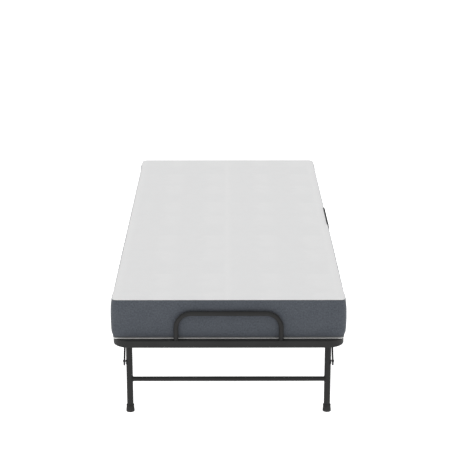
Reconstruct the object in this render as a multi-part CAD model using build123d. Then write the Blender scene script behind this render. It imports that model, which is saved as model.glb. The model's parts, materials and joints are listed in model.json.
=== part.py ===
"""Rollaway bed: a folding guest bed with its foam mattress, on casters.

Millimetres. +Z is up and z = 0 is the floor. The origin is under the middle of the bed, +Y runs to
the head end, -Y to the foot end and +X to the right of somebody who stands at the foot end.
Three frame sections: a centre section on casters, and a foot and a head section that fold up from it.
"""

import os
from math import asin, atan2, cos, degrees, hypot, radians, sin

from build123d import *

# Driving dimensions of the frame
FRAME_WIDTH = 786.0
FRAME_LENGTH = 1945.0
RAIL = 25.0
RAIL_WALL = 1.5
RAIL_EDGE = 2.5
RAIL_TOP = 272.0
RAIL_BEND = 45.0

# Fold between the sections
HINGE_Y = 175.0
RAIL_TAIL = 20.0
HINGE_BOLT_R = 5.0
FIT_GAP = 0.05
SOFT_GAP = 0.3

# Mattress
MATTRESS_TOP = 411.4
MATTRESS_HALF_WIDTH = 393.5
MATTRESS_END_INSET = 21.0
MATTRESS_SPLIT_Y = 195.0
MATTRESS_CORNER = 25.0

# Retainer loop at each end
LOOP_R = 8.0
LOOP_HALF_WIDTH = 178.0
LOOP_TOP = 366.0
LOOP_BEND = 52.0

# Folding legs
LEG_X = 339.0
LEG_R = 11.0
LEG_WALL = 1.5
LEG_INSET = 37.0
LEG_PIVOT_Z = 256.0
LEG_HEAD_R = 11.0
LEG_HEAD_NOSE_R = 7.3
LEG_BOLT_R = 4.0
LEG_BOLT_HEAD = 13.0
EAR_GAP = 0.4
EAR_THICK = 3.0
LEG_FOLD = 88.0
CROSSBAR_R = 8.0
CROSSBAR_WALL = 1.2
CROSSBAR_Z = 119.2

# Rubber pads under the legs
PAD_R = 14.5
PAD_TOP_R = 13.1
PAD_BEAD_R = 13.5
PAD_GROOVE = 0.8
PAD_FILLET = 1.2
PAD_HEIGHT = 25.0
PAD_FLOOR = 5.0

# Braces that hold the legs open
BRACE_PIN_Z = 184.8
BRACE_FOOT_Z = 259.5
BRACE_REACH = 56.0
BRACE_X = 353.5
BRACE_THICK = 5.0
BRACE_HALF_WIDTH = 9.0
BRACE_TAIL = 6.5
BRACE_PIN_R = 3.0
PIN_END = 361.2
SADDLE_LOW = 175.0
SADDLE_HIGH = 188.5
SADDLE_THICK = 1.1
GUIDE_X = 362.0
GUIDE_THICK = 3.0
GUIDE_TRAVEL = 112.0

# Deck slats
SLAT_THICK = 3.0
SLAT_DROP = 0.4
SLAT_WIDTH = 60.0
SECTION_SLATS = 7
CENTRE_SLATS = 3
CENTRE_SLAT_STEP = 110.0

# Side plates and wheel frames of the centre section
PLATE_X = 361.5
PLATE_THICK = 4.0
PLATE_HALF_LENGTH = 222.0
PLATE_BOTTOM = 232.0
STOP_Y = 207.0
STOP_R = 6.0
POST_Y = 200.0
POST_TOP = 262.0
BASE_Z = 84.0
BASE_BEND = 45.0
CENTRE_TUBE_R = 12.5
CENTRE_TUBE_Y = 90.0

# Casters
CASTER_Y = 140.0
WHEEL_R = 25.0
WHEEL_WIDTH = 20.0
AXLE_R = 3.0
TRAIL = 22.0
STEM_R = 5.0
CROWN_Z = 58.0
CROWN_THICK = 4.0

# Latch that holds the folded halves together
LATCH_REACH = 300.0
LATCH_STANDOFF = 7.0
LATCH_THICK = 3.0
LATCH_HALF_WIDTH = 10.0
LATCH_STUD_R = 4.0

# Carry handle of webbing on the right side of the mattress
HANDLE_FROM = -76.0
HANDLE_TO = 164.0
HANDLE_LOW = 390.0
HANDLE_HIGH = 415.0
HANDLE_THICK = 5.0

# Worked out from the above
RAIL_BOTTOM = RAIL_TOP - RAIL
RAIL_MID = RAIL_TOP - RAIL / 2
RAIL_OUT = FRAME_WIDTH / 2
RAIL_IN = RAIL_OUT - RAIL
END_OUT = FRAME_LENGTH / 2
END_IN = END_OUT - RAIL
LEG_Y = END_OUT - LEG_INSET
BASE_X = PLATE_X - RAIL / 2
SLAT_TOP = RAIL_TOP - SLAT_DROP
SLAT_BOTTOM = SLAT_TOP - SLAT_THICK
MATTRESS_BOTTOM = RAIL_TOP + SOFT_GAP
PLATE_OUT = PLATE_X + PLATE_THICK
LATCH_X = MATTRESS_HALF_WIDTH + LATCH_STANDOFF

ENDS = {"foot": -1, "head": 1}
SIDES = {"left": -1, "right": 1}


def block(x0, x1, y0, y1, z0, z1):
    """Box between two corners, given in any order."""
    middle = Pos((x0 + x1) / 2, (y0 + y1) / 2, (z0 + z1) / 2)
    return middle * Box(abs(x1 - x0), abs(y1 - y0), abs(z1 - z0))


def rod_x(x0, x1, y, z, radius):
    """Round bar along X."""
    return Pos((x0 + x1) / 2, y, z) * Rot(0, 90, 0) * Cylinder(radius, abs(x1 - x0))


def rod_z(x, y, z0, z1, radius):
    """Round bar along Z."""
    return Pos(x, y, (z0 + z1) / 2) * Cylinder(radius, abs(z1 - z0))


def hex_x(x0, x1, y, z, across_flats):
    """Hexagonal bar along X, for bolt heads and nuts."""
    outline = RegularPolygon(across_flats / 2, 6, major_radius=False)
    prism = extrude(outline, abs(x1 - x0))
    return Pos(min(x0, x1), y, z) * Rot(0, 90, 0) * prism


def plate_x(x0, x1, outline):
    """Plate of the (y, z) outline between two X values."""
    face = Plane(origin=(min(x0, x1), 0, 0), x_dir=(0, 1, 0), z_dir=(1, 0, 0)) * outline
    return extrude(face, abs(x1 - x0))


def bent_tube(points, bend, outside, inside, x_dir):
    """Hollow tube along a run of straights and bends. The section's first axis starts along x_dir."""
    path = FilletPolyline(*points, radius=bend)
    start = Plane(origin=path @ 0, x_dir=x_dir, z_dir=path % 0)
    return sweep(start * outside, path=path) - sweep(start * inside, path=path)


def group(pieces):
    """Separate solids that share one node."""
    return Compound(children=[solid for piece in pieces for solid in piece.solids()])


def square_section(wall=0.0):
    """Section of the square tube, or of its bore, with the rounded edges that drawn tube has."""
    size = RAIL - 2 * wall
    return RectangleRounded(size, size, RAIL_EDGE - wall)


# Foot and head sections


def rail_corners(end):
    """Corners of a section rail's middle line."""
    side = RAIL_OUT - RAIL / 2
    tail = end * (HINGE_Y - RAIL_TAIL)
    far = end * (END_OUT - RAIL / 2)
    return [(-side, tail, RAIL_MID), (-side, far, RAIL_MID), (side, far, RAIL_MID), (side, tail, RAIL_MID)]


def section_rail(end):
    """U-bent square tube: two side rails and the end rail, drilled for the hinge bolts."""
    corners = rail_corners(end)
    rail = bent_tube(corners, RAIL_BEND, square_section(), square_section(RAIL_WALL), (0, 0, 1))
    for side_sign in SIDES.values():
        hole = HINGE_BOLT_R + FIT_GAP
        rail -= rod_x(side_sign * (RAIL_IN - 1), side_sign * (RAIL_OUT + 1), end * HINGE_Y, RAIL_MID, hole)
    return rail


def retainer_loop(end):
    """Round hoop that stands on the end rail and keeps the mattress in place."""
    y = end * (END_OUT - RAIL / 2)
    corners = [(-LOOP_HALF_WIDTH, y, RAIL_TOP), (-LOOP_HALF_WIDTH, y, LOOP_TOP)]
    corners += [(LOOP_HALF_WIDTH, y, LOOP_TOP), (LOOP_HALF_WIDTH, y, RAIL_TOP)]
    return bent_tube(corners, LOOP_BEND, Circle(LOOP_R), Circle(LOOP_R - RAIL_WALL), (1, 0, 0))


def section_slats(end):
    """Flat steel slats across the section, a little below the top of the rails."""
    first = MATTRESS_SPLIT_Y + SLAT_WIDTH / 2 + 5
    last = END_IN - 45 - SLAT_WIDTH / 2
    step = (last - first) / (SECTION_SLATS - 1)
    slats = []
    for i in range(SECTION_SLATS):
        y = end * (first + i * step)
        half = SLAT_WIDTH / 2
        slats.append(block(-RAIL_IN, RAIL_IN, y - half, y + half, SLAT_BOTTOM, SLAT_TOP))
    return group(slats)


def rail_bend_bore(end, side):
    """Cylinder inside a rail's bend: what reaches past it from the corner would be in the tube."""
    bend = RAIL_BEND - RAIL / 2 - FIT_GAP
    x = side * (RAIL_OUT - RAIL / 2 - RAIL_BEND)
    return rod_z(x, end * (END_OUT - RAIL / 2 - RAIL_BEND), 0, RAIL_TOP, bend)


def leg_brackets(end):
    """Two ears for each leg, welded to the inside of the end rail. The outer ear follows the bend."""
    ears = []
    y_near, y_far = end * (END_IN - FIT_GAP), end * (LEG_Y - 13)
    for side in SIDES.values():
        for ear_side in (-1, 1):
            inner = side * LEG_X + ear_side * (LEG_R + EAR_GAP)
            outer = inner + ear_side * EAR_THICK
            ear = block(inner, outer, y_near, y_far, RAIL_BOTTOM, SLAT_BOTTOM - 1)
            tips = ear.edges().filter_by(Axis.X).sort_by(lambda edge: end * edge.center().Y)[:2]
            ear = fillet(tips, 6)
            ear -= rod_x(inner - 5, inner + 5, end * LEG_Y, LEG_PIVOT_Z, LEG_BOLT_R + FIT_GAP)
            if ear_side == side:
                ear = ear & rail_bend_bore(end, side)
            ears.append(ear)
    return group(ears)


def leg_bolts(end):
    """Pivot bolt of each leg: its head is inside, and its end is peened over close to the rail's bend."""
    bolts = []
    reach = LEG_R + EAR_GAP + EAR_THICK
    for side in SIDES.values():
        x, y, z = side * LEG_X, end * LEG_Y, LEG_PIVOT_Z
        outer = x + side * reach
        inner = x - side * reach
        bolt = rod_x(outer, inner, y, z, LEG_BOLT_R) + hex_x(inner, inner - side * 5, y, z, LEG_BOLT_HEAD)
        bolts.append(bolt + rod_x(outer, outer + side * 0.8, y, z, LEG_BOLT_R + 0.5))
    return group(bolts)


def brace_guides(end):
    """Slotted plates on the inside of the side rails, in which the braces' upper ends slide."""
    near = LEG_Y - BRACE_REACH
    low, high = near - GUIDE_TRAVEL - 14, near + 14
    slot_low, slot_high = near - GUIDE_TRAVEL, near + 4
    guides = []
    for side in SIDES.values():
        half = BRACE_HALF_WIDTH
        plate = block(side * GUIDE_X, side * (GUIDE_X + GUIDE_THICK), end * low, end * high,
                      BRACE_FOOT_Z - half, BRACE_FOOT_Z + half)
        length = slot_high - slot_low + 7
        outline = Pos(end * (slot_low + slot_high) / 2, BRACE_FOOT_Z) * SlotOverall(length, 7)
        plate -= plate_x(side * (GUIDE_X - 1), side * (GUIDE_X + GUIDE_THICK + 1), outline)
        for pad_y in (low + 4, high - 4):
            plate += block(side * (GUIDE_X + GUIDE_THICK), side * RAIL_IN, end * (pad_y - 4),
                           end * (pad_y + 4), BRACE_FOOT_Z - half, BRACE_FOOT_Z + half)
        guides.append(plate)
    return group(guides)


def tube_plugs(end):
    """Plastic plugs in the open ends of the side rails."""
    plugs = []
    tail = HINGE_Y - RAIL_TAIL
    bore = RAIL / 2 - RAIL_WALL - FIT_GAP
    for side in SIDES.values():
        x = side * (RAIL_OUT - RAIL / 2)
        cap = block(x - RAIL / 2, x + RAIL / 2, end * (tail - 3), end * tail, RAIL_BOTTOM, RAIL_TOP)
        core = block(x - bore, x + bore, end * tail, end * (tail + 10), RAIL_MID - bore, RAIL_MID + bore)
        core = fillet(core.edges().filter_by(Axis.Y), RAIL_EDGE - RAIL_WALL + 0.2)
        plugs.append(fillet(cap.edges().filter_by(Axis.Y), RAIL_EDGE) + core)
    return group(plugs)


def mattress_half(end):
    """One end of the foam mattress, which rides on its section."""
    w = MATTRESS_HALF_WIDTH
    far = END_OUT - MATTRESS_END_INSET
    half = block(-w, w, end * MATTRESS_SPLIT_Y, end * far, MATTRESS_BOTTOM, MATTRESS_TOP)
    uprights = half.edges().filter_by(Axis.Z).sort_by(lambda edge: end * edge.center().Y)[-2:]
    return fillet(uprights, MATTRESS_CORNER)


# Legs and braces


def leg_head(end, side):
    """Space that a leg's head may fill: round about its pivot, and narrower where the rail bends past it."""
    y, z = end * LEG_Y, LEG_PIVOT_Z
    start, stop = side * (LEG_X + 0.5), side * (LEG_X + LEG_R)
    nose = Cone(LEG_HEAD_R, LEG_HEAD_NOSE_R, abs(stop - start))
    nose = Pos((start + stop) / 2, y, z) * Rot(0, side * 90, 0) * nose
    return rod_x(side * (LEG_X - LEG_R - 1), start, y, z, LEG_HEAD_R) + nose


def leg(end, side):
    """Leg tube with a rounded head on the pivot bolt and a saddle plate under the brace's pin."""
    x, y = side * LEG_X, end * LEG_Y
    tube = rod_z(x, y, PAD_FLOOR, LEG_PIVOT_Z + LEG_R + 2, LEG_R)
    below = block(x - 20, x + 20, y - 20, y + 20, 0, LEG_PIVOT_Z - 6)
    tube = tube & (below + leg_head(end, side))
    saddle = rod_z(x, y, SADDLE_LOW, SADDLE_HIGH, LEG_R + SADDLE_THICK)
    tube += saddle & block(x + side * 5.5, x + side * 20, y - 20, y + 20, SADDLE_LOW, SADDLE_HIGH)
    tube -= rod_z(x, y, 0, LEG_PIVOT_Z - 13, LEG_R - LEG_WALL)
    tube -= rod_x(x - 20, x + 20, y, LEG_PIVOT_Z, LEG_BOLT_R + FIT_GAP)
    return tube - rod_x(x - 20, x + 20, y, BRACE_PIN_Z, BRACE_PIN_R + FIT_GAP)


def crossbar(end):
    """Round tube between the two legs, coped to fit round them."""
    y = end * LEG_Y
    bore = rod_x(-LEG_X, LEG_X, y, CROSSBAR_Z, CROSSBAR_R - CROSSBAR_WALL)
    bar = rod_x(-LEG_X, LEG_X, y, CROSSBAR_Z, CROSSBAR_R) - bore
    for side in SIDES.values():
        bar -= rod_z(side * LEG_X, y, CROSSBAR_Z - 20, CROSSBAR_Z + 20, LEG_R)
    return bar


def leg_pad(end, side):
    """Rubber cup under a leg, with a bead round its mouth."""
    bead, neck = PAD_HEIGHT - 3.5, PAD_TOP_R - PAD_GROOVE
    body = [(0, 0), (PAD_R, 0), (PAD_R, 5), (PAD_TOP_R, bead - 1.2), (neck, bead - 0.6), (neck, bead)]
    mouth = [(PAD_BEAD_R, bead + 0.5), (PAD_BEAD_R, PAD_HEIGHT - 0.8), (PAD_BEAD_R - 0.8, PAD_HEIGHT)]
    outline = Polyline(*body, *mouth, (0, PAD_HEIGHT), (0, 0))
    pad = revolve(Plane.XZ * make_face(outline), Axis.Z)
    pad = fillet(pad.edges().group_by(Axis.Z)[0], PAD_FILLET)
    pad -= rod_z(0, 0, PAD_FLOOR, PAD_HEIGHT + 1, LEG_R + FIT_GAP)
    return Pos(side * LEG_X, end * LEG_Y, 0) * pad


def brace_pins(end):
    """Rivets on which the braces turn, through the legs and flush inside."""
    pins = []
    for side in SIDES.values():
        y = end * LEG_Y
        inner, head = LEG_X - LEG_R, BRACE_X + BRACE_THICK + 0.3
        pin = rod_x(side * inner, side * head, y, BRACE_PIN_Z, BRACE_PIN_R)
        pins.append(pin + rod_x(side * head, side * PIN_END, y, BRACE_PIN_Z, BRACE_PIN_R + 0.8))
    return group(pins)


def brace(end, side):
    """Flat bar from the leg to the guide, with a rivet at its upper end."""
    length = hypot(BRACE_REACH, BRACE_FOOT_Z - BRACE_PIN_Z)
    rise = degrees(atan2(BRACE_FOOT_Z - BRACE_PIN_Z, -end * BRACE_REACH))
    bar = Pos((length - BRACE_TAIL) / 2, 0) * SlotCenterToCenter(length + BRACE_TAIL, 2 * BRACE_HALF_WIDTH)
    outline = Pos(end * LEG_Y, BRACE_PIN_Z) * Rot(0, 0, rise) * bar
    near, far = side * BRACE_X, side * (BRACE_X + BRACE_THICK)
    plate = plate_x(near, far, outline)
    plate -= rod_x(near - 9, near + 9, end * LEG_Y, BRACE_PIN_Z, BRACE_PIN_R + FIT_GAP)
    top_y = end * (LEG_Y - BRACE_REACH)
    plate += rod_x(far, side * (GUIDE_X - 0.5), top_y, BRACE_FOOT_Z, BRACE_PIN_R)
    return plate + rod_x(near, near - side * 2, top_y, BRACE_FOOT_Z, 5.5)


# Centre section


def side_plate(side):
    """Hinge plate that carries both folding sections at one side."""
    low, high, shoulder = PLATE_BOTTOM, SLAT_BOTTOM, 262.0
    flat, far = 150.0, PLATE_HALF_LENGTH
    corners = [(-far, low + 12), (-far + 14, low), (far - 14, low), (far, low + 12)]
    corners += [(far, shoulder - 6), (far - 8, shoulder), (flat + 12, shoulder + 4), (flat, high)]
    corners += [(-flat, high), (-flat - 12, shoulder + 4), (-far + 8, shoulder), (-far, shoulder - 6)]
    plate = plate_x(side * PLATE_X, side * PLATE_OUT, make_face(Polyline(*corners, close=True)))
    hole = HINGE_BOLT_R + FIT_GAP
    for end in ENDS.values():
        plate -= rod_x(side * (PLATE_X - 1), side * (PLATE_OUT + 1), end * HINGE_Y, RAIL_MID, hole)
    return plate


def wheel_frame(side):
    """U-bent square tube that stands on two casters and carries a side plate."""
    x = side * BASE_X
    corners = [(x, -POST_Y, POST_TOP), (x, -POST_Y, BASE_Z), (x, POST_Y, BASE_Z), (x, POST_Y, POST_TOP)]
    frame = bent_tube(corners, BASE_BEND, square_section(), square_section(RAIL_WALL), (1, 0, 0))
    for end in ENDS.values():
        frame -= rod_z(x, end * CASTER_Y, BASE_Z - RAIL, BASE_Z + RAIL, 7 + FIT_GAP)
    return frame


def cross_tube(y, z, half_length):
    """Round tube from one side of the centre section to the other."""
    outside = rod_x(-half_length, half_length, y, z, CENTRE_TUBE_R)
    return outside - rod_x(-half_length, half_length, y, z, CENTRE_TUBE_R - RAIL_WALL)


def centre_slats():
    """Slats between the two hinges, on the side plates."""
    slats = []
    for i in range(CENTRE_SLATS):
        y = (i - (CENTRE_SLATS - 1) / 2) * CENTRE_SLAT_STEP
        half = SLAT_WIDTH / 2
        slats.append(block(-PLATE_OUT, PLATE_OUT, y - half, y + half, SLAT_BOTTOM, SLAT_TOP))
    return group(slats)


def fold_stops():
    """Studs on the side plates, under the side rails, that stop the open sections."""
    z = RAIL_BOTTOM - STOP_R - 0.2
    places = [(side, end) for side in SIDES.values() for end in ENDS.values()]
    return group([rod_x(s * PLATE_OUT, s * (RAIL_OUT - 5), e * STOP_Y, z, STOP_R) for s, e in places])


def hinge_fasteners():
    """Bolt, nut and spacing washer at each of the four section hinges."""
    pieces = []
    for side in SIDES.values():
        for end in ENDS.values():
            y, z = end * HINGE_Y, RAIL_MID
            head = RAIL_OUT + 0.3
            shank = rod_x(side * head, side * (PLATE_X - 10), y, z, HINGE_BOLT_R)
            pieces.append(shank + hex_x(side * head, side * (head + 6.2), y, z, 16))
            bore = rod_x(side * (PLATE_X - 12), side * RAIL_IN, y, z, HINGE_BOLT_R + FIT_GAP)
            pieces.append(hex_x(side * PLATE_X, side * (PLATE_X - 8), y, z, 16) - bore)
            pieces.append(rod_x(side * PLATE_OUT, side * (RAIL_IN - 0.2), y, z, 10) - bore)
    return group(pieces)


def caster_sockets():
    """Flanged bushes in the wheel frames, in which the caster stems turn."""
    bottom, top = BASE_Z - RAIL / 2, BASE_Z + RAIL / 2
    sockets = []
    for side in SIDES.values():
        for end in ENDS.values():
            x, y = side * BASE_X, end * CASTER_Y
            bush = rod_z(x, y, bottom - 3, bottom, 11) + rod_z(x, y, bottom, top + 3, 7)
            sockets.append(bush - rod_z(x, y, bottom - 4, top + 4, STEM_R + FIT_GAP))
    return group(sockets)


def mattress_centre():
    """Middle of the mattress over the centre section, which is squeezed when the bed folds."""
    w, reach = MATTRESS_HALF_WIDTH, MATTRESS_SPLIT_Y - SOFT_GAP
    return block(-w, w, -reach, reach, MATTRESS_BOTTOM, MATTRESS_TOP)


def carry_handle():
    """Webbing strap on the right side of the mattress, standing a little above its top seam."""
    near = MATTRESS_HALF_WIDTH + SOFT_GAP
    return block(near, near + HANDLE_THICK, HANDLE_FROM, HANDLE_TO, HANDLE_LOW, HANDLE_HIGH)


# Casters


def caster_place(end, side):
    """Swivel axis of a caster, and the Y of its axle, which trails towards the near end."""
    x, y = side * BASE_X, end * CASTER_Y
    return x, y, y + end * TRAIL


def caster_fork(end, side):
    """Pressed fork with its stem."""
    x, y, axle_y = caster_place(end, side)
    inside, outside = WHEEL_WIDTH / 2 + 1.5, WHEEL_WIDTH / 2 + 4.5
    top = CROWN_Z + CROWN_THICK
    fork = block(x - outside, x + outside, y - end * 15, axle_y + end * 6, CROWN_Z, top)
    low = CROWN_Z + 1
    corners = [(y - end * 15, low), (y - end * 13, 50), (axle_y - end * 9, WHEEL_R)]
    corners += [(axle_y + end * 9, WHEEL_R), (axle_y + end * 6, low)]
    cheek = make_face(Polyline(*corners, close=True)) + Pos(axle_y, WHEEL_R) * Circle(9)
    for sign in (-1, 1):
        fork += plate_x(x + sign * inside, x + sign * outside, cheek)
    fork -= rod_x(x - 20, x + 20, axle_y, WHEEL_R, AXLE_R + FIT_GAP)
    fork += rod_z(x, y, top, BASE_Z - RAIL / 2 - 3.1, 9)
    return fork + rod_z(x, y, top, BASE_Z + RAIL / 2 + 4, STEM_R)


def caster_axle(end, side):
    """Rivet through the fork."""
    x, _, y = caster_place(end, side)
    reach = WHEEL_WIDTH / 2 + 4.5
    axle = rod_x(x - reach, x + reach, y, WHEEL_R, AXLE_R)
    for sign in (-1, 1):
        axle += rod_x(x + sign * reach, x + sign * (reach + 1.5), y, WHEEL_R, 5)
    return axle


def caster_wheel(end, side):
    """Moulded wheel with a rounded tread and a raised hub."""
    x, _, y = caster_place(end, side)
    half = WHEEL_WIDTH / 2
    wheel = fillet(rod_x(-half, half, 0, 0, WHEEL_R).edges(), 4)
    for sign in (-1, 1):
        wheel -= rod_x(sign * (half - 2), sign * (half + 1), 0, 0, 17)
        wheel += rod_x(sign * (half - 3), sign * (half + 1.3), 0, 0, 8)
    wheel -= rod_x(-half - 2, half + 2, 0, 0, AXLE_R + FIT_GAP)
    return Pos(x, y, WHEEL_R) * wheel


# Fold latch


def fold_latch():
    """Flat hook along the left head rail, which drops over the stud on the foot rail."""
    span = 2 * HINGE_Y
    start = HINGE_Y + LATCH_REACH
    bar = Pos(start + span / 2, RAIL_MID) * SlotCenterToCenter(span, 2 * LATCH_HALF_WIDTH)
    gap = LATCH_STUD_R + 0.6
    notch = Pos(start + span, RAIL_MID) * Circle(gap)
    notch += Pos(start + span, RAIL_MID + LATCH_HALF_WIDTH) * Rectangle(2 * gap, 2 * LATCH_HALF_WIDTH)
    hook = plate_x(-LATCH_X, -LATCH_X - LATCH_THICK, bar - notch)
    return hook - rod_x(-LATCH_X + 9, -LATCH_X - 9, start, RAIL_MID, LATCH_STUD_R + FIT_GAP)


def latch_rivet():
    """Shouldered rivet on which the latch turns."""
    y = HINGE_Y + LATCH_REACH
    outer = LATCH_X + LATCH_THICK + 0.1
    rivet = rod_x(-RAIL_OUT, -outer, y, RAIL_MID, LATCH_STUD_R)
    rivet += rod_x(-RAIL_OUT, -LATCH_X + 0.2, y, RAIL_MID, 8)
    return rivet + rod_x(-outer, -outer - 1.3, y, RAIL_MID, 7)


def latch_stud():
    """Headed stud on the left foot rail that the latch hooks."""
    y = -HINGE_Y - LATCH_REACH
    outer = LATCH_X + LATCH_THICK + 0.2
    stud = rod_x(-RAIL_OUT, -outer, y, RAIL_MID, LATCH_STUD_R)
    return stud + rod_x(-outer, -outer - 1.2, y, RAIL_MID, 7)


def section_parts(name, end):
    """Every piece that the foot and head ends both have."""
    parts = {
        f"{name}_rail": section_rail(end),
        f"{name}_retainer_loop": retainer_loop(end),
        f"{name}_slats": section_slats(end),
        f"{name}_leg_brackets": leg_brackets(end),
        f"{name}_leg_bolts": leg_bolts(end),
        f"{name}_brace_guides": brace_guides(end),
        f"{name}_tube_plugs": tube_plugs(end),
        f"mattress_{name}": mattress_half(end),
        f"{name}_crossbar": crossbar(end),
        f"{name}_brace_pins": brace_pins(end),
    }
    for side_name, side in SIDES.items():
        parts[f"{name}_leg_{side_name}"] = leg(end, side)
        parts[f"{name}_pad_{side_name}"] = leg_pad(end, side)
        parts[f"{name}_brace_{side_name}"] = brace(end, side)
        parts[f"caster_fork_{name}_{side_name}"] = caster_fork(end, side)
        parts[f"caster_axle_{name}_{side_name}"] = caster_axle(end, side)
        parts[f"caster_wheel_{name}_{side_name}"] = caster_wheel(end, side)
    return parts


def centre_parts():
    """Every piece of the centre section, with the latch and the handle."""
    parts = {
        "centre_tube_foot": cross_tube(-CENTRE_TUBE_Y, SLAT_BOTTOM - CENTRE_TUBE_R, PLATE_X),
        "centre_tube_head": cross_tube(CENTRE_TUBE_Y, SLAT_BOTTOM - CENTRE_TUBE_R, PLATE_X),
        "base_tube": cross_tube(0, BASE_Z, BASE_X - RAIL / 2),
        "centre_slats": centre_slats(),
        "fold_stops": fold_stops(),
        "hinge_fasteners": hinge_fasteners(),
        "caster_sockets": caster_sockets(),
        "mattress_centre": mattress_centre(),
        "carry_handle": carry_handle(),
        "fold_latch": fold_latch(),
        "latch_rivet": latch_rivet(),
        "latch_stud": latch_stud(),
    }
    for side_name, side in SIDES.items():
        parts[f"side_plate_{side_name}"] = side_plate(side)
        parts[f"wheel_frame_{side_name}"] = wheel_frame(side)
    return parts


def brace_ratio():
    """Turn of a brace on its leg for each degree that the leg folds."""
    arm = LEG_PIVOT_Z - BRACE_PIN_Z
    length = hypot(BRACE_REACH, BRACE_FOOT_Z - BRACE_PIN_Z)
    pin_z = LEG_PIVOT_Z - arm * cos(radians(LEG_FOLD))
    folded = degrees(asin((BRACE_FOOT_Z - pin_z) / length))
    reach_end = arm * sin(radians(LEG_FOLD)) + length * cos(radians(folded))
    rise = degrees(atan2(BRACE_FOOT_Z - BRACE_PIN_Z, BRACE_REACH))
    return -(LEG_FOLD + rise - folded) / LEG_FOLD, reach_end


parts = centre_parts()
for end_name, end_sign in ENDS.items():
    parts.update(section_parts(end_name, end_sign))

os.makedirs("parts", exist_ok=True)
for node, shape in parts.items():
    export_step(shape, f"parts/{node}.step")

ratio, slide_end = brace_ratio()
print(len(parts), "nodes, brace ratio", round(ratio, 5), "brace end folded at", round(slide_end, 1))
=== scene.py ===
"""Looks of the rollaway bed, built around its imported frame. Metres, in the frame's own axes:
+Z up, -Y the foot end, +X the right side seen from the foot end."""

import json
import math

import bmesh
import bpy
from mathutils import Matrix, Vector, noise


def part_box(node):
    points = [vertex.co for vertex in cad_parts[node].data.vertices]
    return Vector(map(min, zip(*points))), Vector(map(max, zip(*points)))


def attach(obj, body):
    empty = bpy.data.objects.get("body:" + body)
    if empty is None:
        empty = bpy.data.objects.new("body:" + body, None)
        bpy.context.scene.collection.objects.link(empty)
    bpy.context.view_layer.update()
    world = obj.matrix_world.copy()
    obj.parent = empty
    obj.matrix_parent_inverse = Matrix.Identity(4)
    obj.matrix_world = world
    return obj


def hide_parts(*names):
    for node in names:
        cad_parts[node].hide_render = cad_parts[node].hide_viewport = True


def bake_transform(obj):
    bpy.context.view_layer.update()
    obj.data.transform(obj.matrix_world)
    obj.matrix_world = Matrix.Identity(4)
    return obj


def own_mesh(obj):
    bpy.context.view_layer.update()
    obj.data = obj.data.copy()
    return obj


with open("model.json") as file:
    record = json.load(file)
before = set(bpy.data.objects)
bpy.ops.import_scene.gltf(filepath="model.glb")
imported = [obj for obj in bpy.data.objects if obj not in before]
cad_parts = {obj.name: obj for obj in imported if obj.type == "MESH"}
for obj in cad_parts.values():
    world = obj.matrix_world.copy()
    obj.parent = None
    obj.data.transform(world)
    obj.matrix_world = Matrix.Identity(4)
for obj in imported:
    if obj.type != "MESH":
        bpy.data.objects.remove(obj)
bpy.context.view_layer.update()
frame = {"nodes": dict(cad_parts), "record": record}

MM = 0.001
ENDS = {"foot": -1, "head": 1}
SIDES = {"left": -1, "right": 1}

# Camera: its place from the floor under the middle of the bed, its downward pitch and its turn
CAMERA_PLACE = (-0.0082, -5.4189, 2.0279)
CAMERA_PITCH = math.radians(17.05)
CAMERA_YAW = -0.0029
CAMERA_LENS = 110.5
SENSOR = 36.0

# Light
WORLD_LIGHT = 0.80
KEY_POWER = 70
FILL_POWER = 40
BACK_POWER = 50
LIT_PLACE = (0, 0, 0.3)
FLOOR_REACH = 40

# Mattress: how its corners, top and sides differ from the CAD solids' box. Keys are an end's sign in Y
SIDE_INSET = 1.0 * MM
END_INSET = 0.5 * MM
EDGE_DROP = 0.4 * MM
CROWN = 3.0 * MM
HEAD_RISE = 2.5 * MM
CORNER_R = {-1: 13.0 * MM, 1: 20.0 * MM}
FLARE = {-1: 2.2 * MM, 1: 3.0 * MM}
FLARE_AT = 0.935
FLARE_REACH = 0.055
CALM_REACH = 60 * MM

# Its side: how far in mm it stands out at rising shares of the band's height, and how much less the ends do
SHAPE_STEPS = (0.0, 0.05, 0.1, 0.2, 0.33, 0.5, 0.67, 0.78, 0.88, 0.94, 0.975, 1.0)
SIDE_BY_CORNER = (-0.4, 2.8, 4.8, 5.9, 6.3, 6.6, 6.2, 5.4, 3.7, 2.2, 1.2, 0.4)
SIDE_BY_MIDDLE = (-0.6, 0.8, 2.6, 4.4, 5.4, 5.8, 5.8, 5.5, 4.8, 3.8, 2.6, 0.8)
END_BULGE = 0.10

# Its lower edge and seams: how far its weight presses it down, and the sizes of binding, lip and grooves
PRESSED = 0.25 * MM
BINDING = 1.95 * MM
CREASE = 0.9 * MM
LIP = 7.6 * MM
SEAM_GROOVE = 1.2 * MM
PIPING_R = 1.5 * MM

# Its mesh: squares across and along half of the bed, and levels up the band
GRID_X = 98
GRID_Y = 150
EVEN_SPACING = 0.72
BAND_LEVELS = 20
FABRICS = ["top", "band", "lip", "binding"]

# Figure knitted into the top panel: the size of its repeat, and where one repeat starts
FIGURE_WIDTH = 375 * MM
FIGURE_LENGTH = 458 * MM
FIGURE_SHIFT = 4.9 * MM
FIGURE_START = 232 * MM
FIGURE_COLUMNS = [(0.04, 0.3), (0.28, 0.0), (0.37, 0.7), (0.45, 0.7), (0.53, 0.0)]
FIGURE_COLUMNS += [(0.72, 0.0), (0.82, 0.8), (0.97, 0.6)]
FIGURE_ROWS = [(0.0, 1.0), (0.27, 0.8), (0.36, 0.1), (0.46, 0.9), (0.64, 0.9), (0.74, 0.1), (1.0, 0.0)]

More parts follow.
